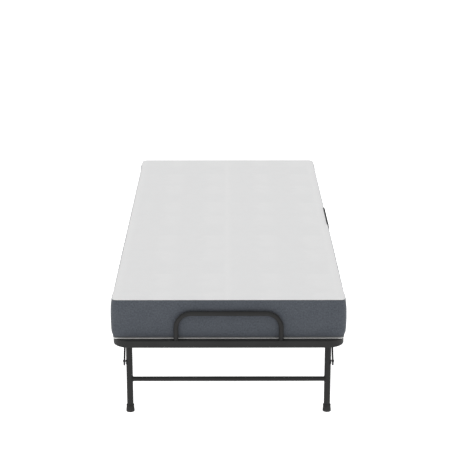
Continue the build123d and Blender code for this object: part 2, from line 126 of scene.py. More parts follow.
# Carry handle: where its faces lie from the mattress's side, how far its ends droop, and its sewn ends
STRAP_FOOT_OUT = 7.6 * MM
STRAP_TAPER = 3.7 * MM
STRAP_OVER_SEAM = 2.2 * MM
STRAP_CURL = 4.0 * MM
STRAP_DROOP = 2.5 * MM
DROOP_REACH = 12 * MM
STRAP_ROWS = 72
SEWN = 22 * MM
SEWN_FLATTER = 0.16
SEWN_MARGIN = 3.5 * MM
STITCH = 3.2 * MM
STITCH_RISE = 0.25 * MM
THREAD_R = 0.42 * MM

# Weld beads
WELD_POINTS = 48
LOOP_BEAD_R = 1.5 * MM
BAR_BEAD_R = 1.35 * MM


# Node materials ---------------------------------------------------------------------------------


class Maker:
    """One material's node tree."""

    def __init__(self, name):
        self.material = bpy.data.materials.new(name)
        self.material.use_nodes = True
        self.tree = self.material.node_tree
        self.tree.nodes.clear()
        self.shader = self.add("ShaderNodeBsdfPrincipled")
        output = self.add("ShaderNodeOutputMaterial")
        self.tree.links.new(self.shader.outputs[0], output.inputs["Surface"])

    def add(self, kind, sockets=None, **settings):
        """A node with its settings, and its sockets set to values or linked to other nodes' outputs."""
        made = self.tree.nodes.new(kind)
        for key, value in settings.items():
            setattr(made, key, value)
        for key, value in (sockets or {}).items():
            if isinstance(value, bpy.types.NodeSocket):
                self.tree.links.new(value, made.inputs[key])
            else:
                made.inputs[key].default_value = value
        return made

    def set(self, **values):
        """Sockets of the shader: spaces in their names are written as underscores."""
        for key, value in values.items():
            name = key.replace("_", " ")
            if isinstance(value, bpy.types.NodeSocket):
                self.tree.links.new(value, self.shader.inputs[name])
            else:
                self.shader.inputs[name].default_value = value

    def math(self, operation, a, b=0.0):
        """Result of a math operation on one or two values."""
        return self.add("ShaderNodeMath", {0: a, 1: b}, operation=operation).outputs[0]

    def place(self, uv=None, scale=(1, 1, 1)):
        """Texture coordinates: the object's own metres, or a UV map in metres."""
        if uv:
            source = self.add("ShaderNodeUVMap", uv_map=uv).outputs[0]
        else:
            source = self.add("ShaderNodeTexCoord").outputs["Object"]
        return self.add("ShaderNodeMapping", {"Vector": source, "Scale": scale}).outputs[0]

    def noise(self, where, scale, detail=3.0, roughness=0.55):
        """Smooth noise within 0 to 1, mostly near 0.5."""
        sockets = {"Vector": where, "Scale": scale, "Detail": detail, "Roughness": roughness}
        return self.add("ShaderNodeTexNoise", sockets).outputs["Fac"]

    def ramp(self, factor, stops):
        """Colour ramp through (position, colour) stops."""
        made = self.add("ShaderNodeValToRGB", {"Fac": factor})
        elements = made.color_ramp.elements
        while len(elements) < len(stops):
            elements.new(0.5)
        for element, (position, colour) in zip(elements, stops):
            element.position = position
            element.color = (*colour, 1)
        return made.outputs["Color"]

    def grey_ramp(self, factor, stops):
        """Ramp of plain values through (position, value) stops."""
        return self.ramp(factor, [(position, (value, value, value)) for position, value in stops])

    def span(self, factor, low, high, from_low=0.0, from_high=1.0):
        """Factor from one range to another."""
        ends = {"From Min": from_low, "From Max": from_high, "To Min": low, "To Max": high}
        return self.add("ShaderNodeMapRange", {"Value": factor, **ends}).outputs[0]

    def mix(self, factor, a, b):
        """Colour from a to b, as the factor goes from 0 to 1."""
        made = self.add("ShaderNodeMix", data_type="RGBA")
        for index, value in ((0, factor), (6, a), (7, b)):
            if isinstance(value, bpy.types.NodeSocket):
                self.tree.links.new(value, made.inputs[index])
            else:
                made.inputs[index].default_value = value if index == 0 else (*value, 1)
        return made.outputs[2]

    def bump(self, height, strength, distance, normal=None):
        """Normal of a surface with that height on it, over another normal if there is one."""
        sockets = {"Height": height, "Strength": strength, "Distance": distance}
        if normal is not None:
            sockets["Normal"] = normal
        return self.add("ShaderNodeBump", sockets).outputs[0]

    def edge_wear(self, radius):
        """1 on outside edges and 0 on flats, from how far a rounded normal leaves the true one."""
        round_normal = self.add("ShaderNodeBevel", {"Radius": radius}, samples=4).outputs[0]
        true_normal = self.add("ShaderNodeNewGeometry").outputs["True Normal"]
        dot = self.add("ShaderNodeVectorMath", {0: round_normal, 1: true_normal}, operation="DOT_PRODUCT")
        return self.span(dot.outputs["Value"], 1.0, 0.0, 0.75, 0.98), round_normal


def powder_coat():
    """Satin black powder coat: orange peel, faint dust, thinner and shinier on the edges."""
    m = Maker("powder_coated_steel")
    where = m.place()
    wear, rounded = m.edge_wear(1.2 * MM)
    cloud = m.noise(where, 9.0)
    speck = m.noise(where, 420.0, 2.0)
    base = m.ramp(cloud, [(0.3, (0.0235, 0.0235, 0.0235)), (0.7, (0.0280, 0.0280, 0.0280))])
    dusted = m.mix(m.span(speck, 0.0, 0.25, 0.6, 0.85), base, (0.041, 0.041, 0.040))
    worn = m.math("MULTIPLY", wear, m.span(m.noise(where, 60.0), 0.0, 0.5, 0.35, 0.7))
    m.set(Base_Color=m.mix(worn, dusted, (0.055, 0.055, 0.055)))
    m.set(Roughness=m.span(cloud, 0.42, 0.55), Specular_IOR_Level=0.08)
    peel = m.add("ShaderNodeTexVoronoi", {"Vector": where, "Scale": 900.0}, feature="SMOOTH_F1").outputs[0]
    m.set(Normal=m.bump(peel, 0.18, 0.25 * MM, rounded))
    return m.material


def zinc_plate():
    """Bright zinc plated steel with a fine grain and dull patches."""
    m = Maker("zinc_plated_steel")
    where = m.place()
    wear, rounded = m.edge_wear(0.6 * MM)
    patch = m.noise(where, 55.0, 4.0)
    grain = m.noise(m.place(scale=(60, 900, 900)), 1.0, 2.0)
    base = m.ramp(patch, [(0.35, (0.20, 0.20, 0.205)), (0.65, (0.33, 0.33, 0.325))])
    m.set(Base_Color=m.mix(m.math("MULTIPLY", wear, 0.6), base, (0.52, 0.52, 0.51)), Metallic=0.92)
    m.set(Roughness=m.span(patch, 0.30, 0.50), Normal=m.bump(grain, 0.12, 0.1 * MM, rounded))
    return m.material


def dark_rubber():
    """Moulded rubber: matte, mottled and dusty low down, where it meets the floor."""
    m = Maker("black_rubber")
    where = m.place()
    low = m.span(m.add("ShaderNodeSeparateXYZ", {0: where}).outputs[2], 1.0, 0.0, 0.0, 9 * MM)
    mottle = m.noise(where, 140.0, 4.0)
    base = m.ramp(mottle, [(0.3, (0.013, 0.013, 0.013)), (0.75, (0.024, 0.024, 0.023))])
    dust = m.math("MULTIPLY", low, m.span(mottle, 0.1, 0.6, 0.35, 0.7))
    m.set(Base_Color=m.mix(dust, base, (0.10, 0.095, 0.09)), Roughness=m.span(mottle, 0.62, 0.82))
    m.set(Normal=m.bump(m.noise(where, 1500.0, 2.0), 0.25, 0.15 * MM), Specular_IOR_Level=0.3)
    return m.material


def black_plastic():
    """Moulded plastic plugs, with a fine spark-eroded grain."""
    m = Maker("black_plastic")
    where = m.place()
    cloud = m.noise(where, 80.0)
    m.set(Base_Color=m.ramp(cloud, [(0.3, (0.016, 0.016, 0.016)), (0.7, (0.026, 0.026, 0.026))]))
    m.set(Roughness=m.span(cloud, 0.5, 0.65), Normal=m.bump(m.noise(where, 2200.0, 1.0), 0.3, 0.1 * MM))
    return m.material


def wheel_polymer():
    """Caster wheel: dark grey polymer, its tread scuffed grey."""
    m = Maker("wheel_polymer")
    where = m.place()
    scuff = m.noise(m.place(scale=(300, 90, 90)), 1.0, 4.0)
    base = m.ramp(m.noise(where, 70.0), [(0.3, (0.022, 0.022, 0.024)), (0.7, (0.036, 0.036, 0.038))])
    m.set(Base_Color=m.mix(m.span(scuff, 0.0, 0.5, 0.5, 0.75), base, (0.11, 0.108, 0.105)))
    m.set(Roughness=m.span(scuff, 0.38, 0.62), Normal=m.bump(scuff, 0.2, 0.2 * MM))
    return m.material


def weave(m, where, across, along):
    """Height of a plain weave: threads that go over and under each other."""
    axes = m.add("ShaderNodeSeparateXYZ", {0: where})
    x = m.math("MULTIPLY", axes.outputs[0], math.pi / across)
    y = m.math("MULTIPLY", axes.outputs[1], math.pi / along)
    warp = m.math("ABSOLUTE", m.math("SINE", x))
    weft = m.math("ABSOLUTE", m.math("SINE", y))
    over = m.math("MULTIPLY", m.math("COSINE", x), m.math("COSINE", y))
    turn = m.span(over, 0.0, 1.0, -0.4, 0.4)
    first = m.math("MULTIPLY", warp, turn)
    second = m.math("MULTIPLY", weft, m.math("SUBTRACT", 1.0, turn))
    return m.math("ADD", first, second)


def knitted_figure(m, where, cloud):
    """Faint figure of the top panel, 0 to 1: in each repeat two columns of spots in two rows, and a line
    between repeats. The cloud makes its outlines uneven."""
    axes = m.add("ShaderNodeSeparateXYZ", {0: where})
    uneven = m.math("MULTIPLY", m.math("SUBTRACT", cloud, 0.5), 0.20)
    from_line = m.math("ADD", axes.outputs[0], FIGURE_SHIFT)
    from_start = m.math("SUBTRACT", FIGURE_START, axes.outputs[1])
    across = m.math("FRACT", m.math("DIVIDE", from_line, FIGURE_WIDTH))
    along = m.math("FRACT", m.math("DIVIDE", from_start, FIGURE_LENGTH))
    line = m.grey_ramp(across, [(0.0, 1.0), (0.06, 0.0), (0.95, 0.0), (1.0, 1.0)])
    columns = m.grey_ramp(m.math("ADD", across, uneven), FIGURE_COLUMNS)
    rows = m.grey_ramp(m.math("ADD", along, uneven), FIGURE_ROWS)
    return m.math("MAXIMUM", line, m.math("MULTIPLY", columns, rows))


def knit_panel():
    """White knitted top panel: fine loops, a faint repeating figure and soft fibre sheen."""
    m = Maker("mattress_knit")
    where = m.place(uv="cloth")
    loops = weave(m, where, 1.7 * MM, 1.1 * MM)
    cloud = m.noise(where, 26.0, 5.0, 0.7)
    figure = knitted_figure(m, where, cloud)
    tone = m.math("ADD", m.math("MULTIPLY", figure, 0.26), m.math("MULTIPLY", cloud, 0.50))
    base = m.ramp(tone, [(0.07, (0.648, 0.650, 0.652)), (0.57, (0.690, 0.690, 0.690))])
    fibre = m.span(m.noise(where, 900.0, 2.0), 0.0, 0.10, 0.45, 0.75)
    m.set(Base_Color=m.mix(fibre, base, (0.60, 0.60, 0.605)), Roughness=m.span(loops, 0.9, 0.75))
    m.set(Sheen_Weight=0.15, Sheen_Roughness=0.5, Specular_IOR_Level=0.2)
    raised = m.bump(figure, 0.10, 0.3 * MM)
    m.set(Normal=m.bump(loops, 0.22, 0.35 * MM, raised))
    return m.material


def band_fabric():
    """Charcoal blue woven side band: heathered yarns and a visible weave."""
    m = Maker("mattress_band")
    where = m.place(uv="cloth")
    threads = weave(m, where, 1.4 * MM, 1.4 * MM)
    heather = m.noise(m.place(uv="cloth", scale=(500, 160, 1)), 1.0, 3.0)
    cloud = m.noise(where, 18.0, 4.0)
    slub = m.noise(where, 170.0, 3.0, 0.7)
    tone = m.math("ADD", m.math("MULTIPLY", heather, 0.45), m.math("MULTIPLY", slub, 0.55))
    base = m.ramp(tone, [(0.36, (0.043, 0.048, 0.059)), (0.64, (0.079, 0.089, 0.104))])
    m.set(Base_Color=m.mix(m.span(cloud, 0.0, 0.18, 0.35, 0.7), base, (0.100, 0.108, 0.122)))
    m.set(Roughness=m.span(threads, 0.92, 0.78), Sheen_Weight=0.2, Sheen_Roughness=0.45)
    m.set(Specular_IOR_Level=0.2, Normal=m.bump(threads, 0.45, 0.4 * MM))
    return m.material


def piping_fabric():
    """Tape over the seams, a shade darker than the band, with a slanting rib."""
    m = Maker("mattress_piping")
    where = m.place(uv="cloth")
    rib = m.add("ShaderNodeTexWave", {"Vector": where, "Scale": 230.0, "Distortion": 0.5}).outputs["Fac"]
    m.set(Base_Color=m.ramp(rib, [(0.2, (0.034, 0.038, 0.045)), (0.8, (0.056, 0.061, 0.070))]))
    m.set(Roughness=0.85, Normal=m.bump(rib, 0.4, 0.3 * MM), Sheen_Weight=0.15)
    return m.material


def underside_fabric():
    """Grey non-slip lower panel, dotted with small rubber grips. Its grey is partly its own tone and partly
    painted shade, darkened for the shade that falls on the lip under the bulging side.
    """
    m = Maker("mattress_underside")
    where = m.place(uv="cloth")
    dots = m.add("ShaderNodeTexVoronoi", {"Vector": where, "Scale": 160.0, "Randomness": 0.0}).outputs[0]
    dot = m.span(dots, 1.0, 0.0, 0.22, 0.32)
    threads = weave(m, where, 1.2 * MM, 1.2 * MM)
    # Painted shade: this grey sits below the panel's own tone, for the shade on the lip under the mattress's
    # bulging side
    base = m.ramp(m.noise(where, 40.0), [(0.3, (0.105, 0.107, 0.109)), (0.7, (0.128, 0.130, 0.131))])
    m.set(Base_Color=m.mix(m.math("MULTIPLY", dot, 0.5), base, (0.155, 0.155, 0.155)))
    m.set(Roughness=m.span(dot, 0.88, 0.55))
    m.set(Normal=m.bump(m.math("ADD", threads, m.math("MULTIPLY", dot, 3.0)), 0.4, 0.4 * MM))
    return m.material


def binding_tape():
    """Light woven tape that binds the lower edge."""
    m = Maker("mattress_binding")
    where = m.place(uv="cloth")
    threads = weave(m, where, 1.0 * MM, 0.8 * MM)
    base = m.ramp(m.noise(where, 60.0), [(0.3, (0.66, 0.66, 0.655)), (0.7, (0.74, 0.74, 0.735))])
    m.set(Base_Color=m.mix(m.span(threads, 0.3, 0.0), base, (0.48, 0.48, 0.48)))
    m.set(Roughness=0.85, Specular_IOR_Level=0.2, Normal=m.bump(threads, 0.4, 0.3 * MM))
    return m.material


def webbing():
    """Black polyester webbing: herringbone ribs along the strap."""
    m = Maker("black_webbing")
    where = m.place(uv="cloth")
    axes = m.add("ShaderNodeSeparateXYZ", {0: where})
    fold = m.math("PINGPONG", axes.outputs[1], 4 * MM)
    slant = m.math("ADD", axes.outputs[0], fold)
    rib = m.math("ABSOLUTE", m.math("SINE", m.math("MULTIPLY", slant, math.pi / (1.6 * MM))))
    m.set(Base_Color=m.ramp(rib, [(0.1, (0.008, 0.008, 0.009)), (0.8, (0.026, 0.026, 0.028))]))
    m.set(Roughness=m.span(rib, 0.85, 0.65), Normal=m.bump(rib, 0.6, 0.5 * MM), Specular_IOR_Level=0.15)
    return m.material


def thread():
    """Polyester sewing thread: twisted, slightly glossy."""
    m = Maker("sewing_thread")
    where = m.place()
    twist = m.noise(where, 1800.0, 1.0)
    m.set(Base_Color=m.ramp(twist, [(0.3, (0.05, 0.05, 0.055)), (0.7, (0.10, 0.10, 0.11))]))
    m.set(Roughness=0.5, Normal=m.bump(twist, 0.3, 0.1 * MM))
    return m.material


def floor_surface():
    """White studio floor, a little uneven and bright enough to show as plain white."""
    m = Maker("studio_floor")
    cloud = m.noise(m.place(), 0.7)
    m.set(Base_Color=m.ramp(cloud, [(0.2, (0.70, 0.70, 0.70)), (0.8, (0.74, 0.74, 0.74))]), Roughness=0.9)
    m.set(Emission_Color=(1, 1, 1, 1), Emission_Strength=0.93, Specular_IOR_Level=0.0)
    return m.material


# Meshes -----------------------------------------------------------------------------------------

UP = Vector((0, 0, 1))
RIGHT = Vector((1, 0, 0))


def new_object(name, vertices, faces, uvs=None, materials=(), face_materials=None, smooth=True):
    """Mesh object from plain lists. uvs holds one (u, v) for each corner of each face, in metres."""
    mesh = bpy.data.meshes.new(name)
    mesh.from_pydata([tuple(v) for v in vertices], [], faces)
    for material in materials:
        mesh.materials.append(material)
    if face_materials:
        mesh.polygons.foreach_set("material_index", face_materials)
    mesh.polygons.foreach_set("use_smooth", [smooth] * len(faces))
    if uvs:
        layer = mesh.uv_layers.new(name="cloth")
        layer.data.foreach_set("uv", [c for corner in uvs for c in corner])
    mesh.update()
    made = bpy.data.objects.new(name, mesh)
    bpy.context.scene.collection.objects.link(made)
    return made


def tube_mesh(points, radius, around=12, closed=False, pole=UP):
    """Vertices, faces and UVs of a tube along points, its ends capped. radius is one number, or one for
    each point, and pole is a direction that the points never run along."""
    vertices, faces, uvs, run = [], [], [], [0.0]
    count = len(points)
    for i, point in enumerate(points):
        before = points[i - 1] if (i or closed) else points[i]
        after = points[(i + 1) % count] if (i < count - 1 or closed) else points[i]
        along = (after - before).normalized()
        side = along.cross(pole).normalized()
        up = side.cross(along).normalized()
        reach = radius[i] if isinstance(radius, list) else radius
        for k in range(around):
            angle = 2 * math.pi * k / around
            vertices.append(point + (side * math.cos(angle) + up * math.sin(angle)) * reach)
        if i:
            run.append(run[-1] + (point - points[i - 1]).length)
    for i in range(count if closed else count - 1):
        j = (i + 1) % count
        start, stop = run[i], run[i] + (points[j] - points[i]).length
        for k in range(around):
            n = (k + 1) % around
            faces.append((i * around + k, j * around + k, j * around + n, i * around + n))
            low, high = k * MM, (k + 1) * MM
            uvs += [(start, low), (stop, low), (stop, high), (start, high)]
    if not closed:
        for i, order in ((0, range(around)), (count - 1, range(around - 1, -1, -1))):
            faces.append(tuple(i * around + k for k in order))
            uvs += [(0.0, 0.0)] * around
    return vertices, faces, uvs


def combine(parts):
    """Joins (vertices, faces, uvs) lists into one."""
    vertices, faces, uvs = [], [], []
    for more_vertices, more_faces, more_uvs in parts:
        first = len(vertices)
        vertices += more_vertices
        faces += [tuple(first + i for i in face) for face in more_faces]
        uvs += more_uvs
    return vertices, faces, uvs


def turn_outwards(made, crease_last=False):
    """Turns every face outwards. crease_last keeps the last face from shading its neighbours."""
    bm = bmesh.new()
    bm.from_mesh(made.data)
    bmesh.ops.recalc_face_normals(bm, faces=bm.faces[:])
    if crease_last:
        bm.faces.ensure_lookup_table()
        for edge in bm.faces[-1].edges:
            edge.smooth = False
    bm.to_mesh(made.data)
    bm.free()


def wander(point, size, amount):
    """Smooth unevenness at a point: about -amount to amount, over lumps of that size."""
    return noise.noise(Vector(point) / size) * amount


# Mattress ---------------------------------------------------------------------------------------

MATTRESS_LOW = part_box("mattress_foot")[0]
MATTRESS_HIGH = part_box("mattress_head")[1]
HALF_WIDTH = MATTRESS_HIGH.x - SIDE_INSET
HALF_LENGTH = MATTRESS_HIGH.y - END_INSET
FLOOR_Z = MATTRESS_LOW.z
TOP_Z = MATTRESS_HIGH.z
SEAM_LOW = FLOOR_Z + LIP
SEAM_HIGH = TOP_Z - EDGE_DROP
COVERED = {"foot": ("mattress_foot", "mattress_centre"), "head": ("mattress_head",)}


def calm(y):
    """0 at the bed's middle, where the two halves of the cover meet, up to 1 a little away from it."""
    return min(1.0, abs(y) / CALM_REACH)


def plan_point(u, v, end):
    """Place on the mattress's plan of grid point u in -1..1 across and v in 0..1 along. The corners are
    rounded, and the sides flare a little just before them."""
    flare = FLARE[end] * max(0.0, 1 - ((v - FLARE_AT) / FLARE_REACH) ** 2)
    x, y, corner = u * (HALF_WIDTH + flare), v * HALF_LENGTH, CORNER_R[end]
    over_x = abs(x) - (HALF_WIDTH - corner)
    over_y = y - (HALF_LENGTH - corner)
    if over_x > 0 and over_y > 0:
        share = max(over_x, over_y) / math.hypot(over_x, over_y)
        x = math.copysign(HALF_WIDTH - corner + over_x * share, x)
        y = HALF_LENGTH - corner + over_y * share
    return Vector((x, end * y, 0))


def outward(point, end):
    """Outward direction in plan at a point of the outline, and how much of it faces the end."""
    over_x = abs(point.x) - (HALF_WIDTH - CORNER_R[end])
    over_y = end * point.y - (HALF_LENGTH - CORNER_R[end])
    if over_y <= 0:
        return Vector((math.copysign(1, point.x), 0, 0)), 0.0
    if over_x <= 0:
        return Vector((0, end, 0)), 1.0
    direction = Vector((math.copysign(over_x, point.x), end * over_y, 0)).normalized()
    return direction, abs(direction.y)


def lifted(y, height):
    """A height in the mattress, raised a little towards the head end, where the foam is thickest."""
    share = (height - FLOOR_Z) / (TOP_Z - FLOOR_Z)
    return height + HEAD_RISE * share * (max(0.0, y) / HALF_LENGTH) ** 2


def top_height(point):
    """Height of the top panel: a low crown with soft lumps, which die out at the middle joint."""
    across = 1 - (point.x / HALF_WIDTH) ** 4
    along = 1 - (point.y / HALF_LENGTH) ** 8
    lumps = wander((point.x, point.y, 0.3), 0.16, 1.2 * MM) + wander((point.x, point.y, 1.7), 0.05, 0.35 * MM)
    return lifted(point.y, TOP_Z) + (CROWN + lumps * calm(point.y)) * across * along


def between(values, i, share):
    """Value a share of the way from number i of a list to the next."""
    return values[i] + (values[i + 1] - values[i]) * share


def side_shape(t, near_end):
    """How far the side stands out at a share t of the band's height. The corners pull it in near the ends."""
    for i, (t0, t1) in enumerate(zip(SHAPE_STEPS, SHAPE_STEPS[1:])):
        if t <= t1:
            share = (t - t0) / (t1 - t0)
            corner = between(SIDE_BY_CORNER, i, share)
            middle = between(SIDE_BY_MIDDLE, i, share)
            return (middle + (corner - middle) * near_end) * MM


def lower_edge():
    """Profile from the underside, which the weight presses down, over the binding, the crease and the lip."""
    return [
        (-0.8 * MM, FLOOR_Z - PRESSED, "binding"),
        (-0.15 * MM, FLOOR_Z + 0.3 * MM, "binding"),
        (0.0, FLOOR_Z + 1.0 * MM, "binding"),
        (0.0, FLOOR_Z + BINDING, "binding"),
        (-CREASE, FLOOR_Z + BINDING + 0.5 * MM, "lip"),
        (0.0, FLOOR_Z + BINDING + 1.6 * MM, "lip"),
        (0.0, SEAM_LOW - 2.0 * MM, "lip"),
        (-SEAM_GROOVE, SEAM_LOW, "band"),
    ]


def rolled_edge():
    """Profile from the upper seam over the rolled edge to the top panel."""
    return [
        (-0.5 * MM, SEAM_HIGH, "top"),
        (0.1 * MM, SEAM_HIGH + 0.5 * MM, "top"),
        (-0.5 * MM, SEAM_HIGH + 1.1 * MM, "top"),
        (-2.6 * MM, TOP_Z, "top"),
    ]


def band_profile(end_share=0.0, near_end=0.0):
    """The side's whole profile, as (outward offset, height, fabric above it), from the bottom up."""
    bulge = 1 - end_share + END_BULGE * end_share
    band = []
    for i in range(1, BAND_LEVELS):
        t = i / BAND_LEVELS
        band.append((bulge * side_shape(t, near_end), SEAM_LOW + (SEAM_HIGH - SEAM_LOW) * t, "band"))
    return lower_edge() + band + rolled_edge()


def side_ripple(point, height, share):
    """Unevenness of the side: soft waves at mid height and small puckers by the seams."""
    middle = math.sin(math.pi * min(1, max(0, (height - SEAM_LOW) / (SEAM_HIGH - SEAM_LOW))))
    wave = wander((point.x, point.y, height), 0.12, 0.9 * MM) * middle * (1 - 0.7 * share)
    pucker = wander((point.x, point.y, 9.0), 0.018, 0.35 * MM) * (1 - middle) * (height > SEAM_LOW)
    return (wave + pucker) * calm(point.y)


def outline_steps():
    """Grid places round the open outline of one half: up one side, across the end and down the other."""
    steps = [(0, j) for j in range(GRID_Y + 1)]
    steps += [(i, GRID_Y) for i in range(1, GRID_X + 1)]
    return steps + [(GRID_X, j) for j in range(GRID_Y - 1, -1, -1)]


def grid_v(j):
    """Place along the half, closer spaced near the bed's middle."""
    t = j / GRID_Y
    return EVEN_SPACING * t + (1 - EVEN_SPACING) * t * t


def grid_place(i, j, end):
    """Place on the mattress's plan of a corner of the grid."""
    return plan_point(2 * i / GRID_X - 1, grid_v(j), end)


class Cover:
    """One half of the mattress cover, while its mesh is built."""

    def __init__(self, end):
        self.end = end
        self.steps = outline_steps()
        self.places = {}
        for i in range(GRID_X + 1):
            for j in range(GRID_Y + 1):
                self.places[i, j] = grid_place(i, j, end)
        self.vertices, self.faces, self.fabrics, self.uvs = [], [], [], []

    def add_face(self, corners, fabric, uvs):
        """A face of one fabric, with its corners' UVs."""
        self.faces.append(corners)
        self.fabrics.append(FABRICS.index(fabric))
        self.uvs += uvs

    def side_column(self, step):
        """Points up the side at one step of the outline, one for each level of the profile."""
        point = self.places[step]
        direction, share = outward(point, self.end)
        near_end = min(1.0, abs(point.y) / HALF_LENGTH) ** 6
        column = []
        for offset, height, _ in band_profile(share, near_end):
            rim = Vector((point.x, point.y, lifted(point.y, height)))
            column.append(rim + direction * (offset + side_ripple(point, height, share)))
        return column

    def add_sides(self):
        """Strips of faces between the levels of the profile. Returns the levels' vertex numbers."""
        run = [0.0]
        for a, b in zip(self.steps, self.steps[1:]):
            run.append(run[-1] + (self.places[a] - self.places[b]).length)
        rows = []
        for level_points in zip(*[self.side_column(step) for step in self.steps]):
            first = len(self.vertices)
            self.vertices += level_points
            rows.append(range(first, len(self.vertices)))
        profile = band_profile()
        for level, (under, over) in enumerate(zip(rows, rows[1:])):
            low, high = profile[level][1], profile[level + 1][1]
            for k in range(len(self.steps) - 1):
                corners = (under[k], under[k + 1], over[k + 1], over[k])
                uvs = [(run[k], low), (run[k + 1], low), (run[k + 1], high), (run[k], high)]
                self.add_face(corners, profile[level][2], uvs)
        return rows

    def add_panel(self, rim_row, fabric, height_at):
        """Grid of faces inside a level's outline. Returns the grid's vertex numbers."""
        rim = dict(zip(self.steps, rim_row))
        index = {}
        for key, point in self.places.items():
            if key in rim:
                index[key] = rim[key]
                continue
            index[key] = len(self.vertices)
            self.vertices.append(Vector((point.x, point.y, height_at(point))))
        for i in range(GRID_X):
            for j in range(GRID_Y):
                quad = (index[i, j], index[i + 1, j], index[i + 1, j + 1], index[i, j + 1])
                self.add_face(quad, fabric, [(self.vertices[n].x, self.vertices[n].y) for n in quad])
        return index

    def add_cut(self, rows, bottom, top):
        """Face that closes the half at the bed's middle."""
        ring = [row[0] for row in rows] + [top[i, 0] for i in range(1, GRID_X)]
        ring += [row[-1] for row in reversed(rows)] + [bottom[i, 0] for i in range(GRID_X - 1, 0, -1)]
        self.add_face(tuple(ring), "lip", [(self.vertices[n].x, self.vertices[n].z) for n in ring])


def bend_with_fold(piece):
    """Bakes a soft piece's placement into its mesh."""
    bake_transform(piece)


def build_mattress(end_name, cloths):
    """Half of the mattress cover, in place of the CAD solids that it covers."""
    half = Cover(ENDS[end_name])
    rows = half.add_sides()
    bottom = half.add_panel(rows[0], "lip", lambda point: FLOOR_Z - PRESSED)
    top = half.add_panel(rows[-1], "top", top_height)
    half.add_cut(rows, bottom, top)
    name = f"mattress_cover_{end_name}"
    cover = new_object(name, half.vertices, half.faces, half.uvs, cloths, half.fabrics)
    turn_outwards(cover, crease_last=True)
    bend_with_fold(cover)
    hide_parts(*COVERED[end_name])


def build_piping(end_name, material):
    """Taped seams round the top and bottom edges of one half."""
    end = ENDS[end_name]
    tubes = []
    for height in (SEAM_HIGH - 0.9 * MM, SEAM_LOW):
        points = []
        for i, j in outline_steps():
            point = grid_place(i, j, end)
            direction, _ = outward(point, end)
            seam = Vector((point.x, point.y, lifted(point.y, height)))
            points.append(seam - direction * (PIPING_R * 0.62))
        tubes.append(tube_mesh(points, PIPING_R, around=10))
    piping = new_object(f"mattress_seams_{end_name}", *combine(tubes), [material])
    turn_outwards(piping)
    bend_with_fold(piping)


# Carry handle -----------------------------------------------------------------------------------


def rounded_rectangle(width, thick, corner, each=4):
    """Points round a rounded rectangle, anticlockwise from its right side."""
    points = []
    for cx, cy, start in ((1, 1, 0), (-1, 1, 90), (-1, -1, 180), (1, -1, 270)):
        for k in range(each + 1):
            angle = math.radians(start + 90 * k / each)
            x = cx * (width / 2 - corner) + math.cos(angle) * corner
            y = cy * (thick / 2 - corner) + math.sin(angle) * corner
            points.append((x, y))
    return points


def gather_with_fold(piece):
    """Hangs a piece of the handle on the centre section's body, and gives it a mesh of its own."""
    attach(piece, "centre_section")
    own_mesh(piece)


def strap_press(from_end):
    """Share of the strap's thickness that is left where its sewn ends are pressed flat."""
    return 1 - SEWN_FLATTER * max(0.0, 1 - from_end / (SEWN * 1.15)) ** 0.5


def strap_faces(z):
    """X of the strap's inner and outer faces at a height: thin on the bulging side, thick over the seam."""
    low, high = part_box("carry_handle")
    share = (z - low.z) / (high.z - low.z)
    t = min(1.0, (z - SEAM_LOW) / (SEAM_HIGH - SEAM_LOW))
    curled = min(1.0, max(0.0, (z - SEAM_HIGH + STRAP_CURL) / STRAP_CURL))
    inner = HALF_WIDTH + side_shape(t, 0.0) * (1 - curled) - STRAP_OVER_SEAM * curled
    return inner, HALF_WIDTH + STRAP_FOOT_OUT - STRAP_TAPER * share * share


def strap_ring(section, share, low, high):
    """Vertices round the strap's section at a share of its length."""
    thick, length, middle_z = high.x - low.x, high.y - low.y, (low.z + high.z) / 2
    y = low.y + length * share
    from_end = min(share, 1 - share) * length
    droop = STRAP_DROOP * max(0.0, 1 - from_end / DROOP_REACH) ** 2
    ring = []
    for x, z in section:
        inner, outer = strap_faces(middle_z + z)
        place = inner + (x / thick + 0.5) * (outer - inner) * strap_press(from_end)
        ring.append(Vector((place, y, middle_z + z + wander((0, y, z), 0.03, 0.25 * MM) - droop)))
    return ring


def build_strap(material):
    """Padded webbing strap on the right side, over the top seam."""
    low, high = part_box("carry_handle")
    length = high.y - low.y
    section = rounded_rectangle(high.x - low.x, high.z - low.z - 1.0 * MM, 1.4 * MM)
    around = len(section)
    vertices, faces, uvs = [], [], []
    for r in range(STRAP_ROWS + 1):
        vertices += strap_ring(section, r / STRAP_ROWS, low, high)
    for r in range(STRAP_ROWS):
        start, stop = length * r / STRAP_ROWS, length * (r + 1) / STRAP_ROWS
        for k in range(around):
            n = (k + 1) % around
            faces.append((r * around + k, r * around + n, (r + 1) * around + n, (r + 1) * around + k))
            side_k = math.copysign(section[k][1], section[k][0])
            side_n = math.copysign(section[n][1], section[n][0])
            uvs += [(start, side_k), (start, side_n), (stop, side_n), (stop, side_k)]
    for r in (0, STRAP_ROWS):
        faces.append(tuple(r * around + k for k in range(around)))
        uvs += section
    strap = new_object("carry_strap", vertices, faces, uvs, [material])
    turn_outwards(strap)
    for polygon in strap.data.polygons[-2:]:
        polygon.use_smooth = False
    gather_with_fold(strap)
    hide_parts("carry_handle")


def sewn_lines(low, high):
    """(y, z) ends of each line of stitches: a box with a cross in it at either end of the strap."""
    z_from, z_to = low.z + SEWN_MARGIN, high.z - SEWN_MARGIN
    lines = []
    for y_from, y_to in ((low.y + 3 * MM, low.y + SEWN), (high.y - SEWN, high.y - 3 * MM)):
        corners = [(y_from, z_from), (y_to, z_from), (y_to, z_to), (y_from, z_to)]
        path = corners + [(y_from, z_from), (y_to, z_to)]
        lines += list(zip(path, path[1:])) + [((y_from, z_to), (y_to, z_from))]
    return lines


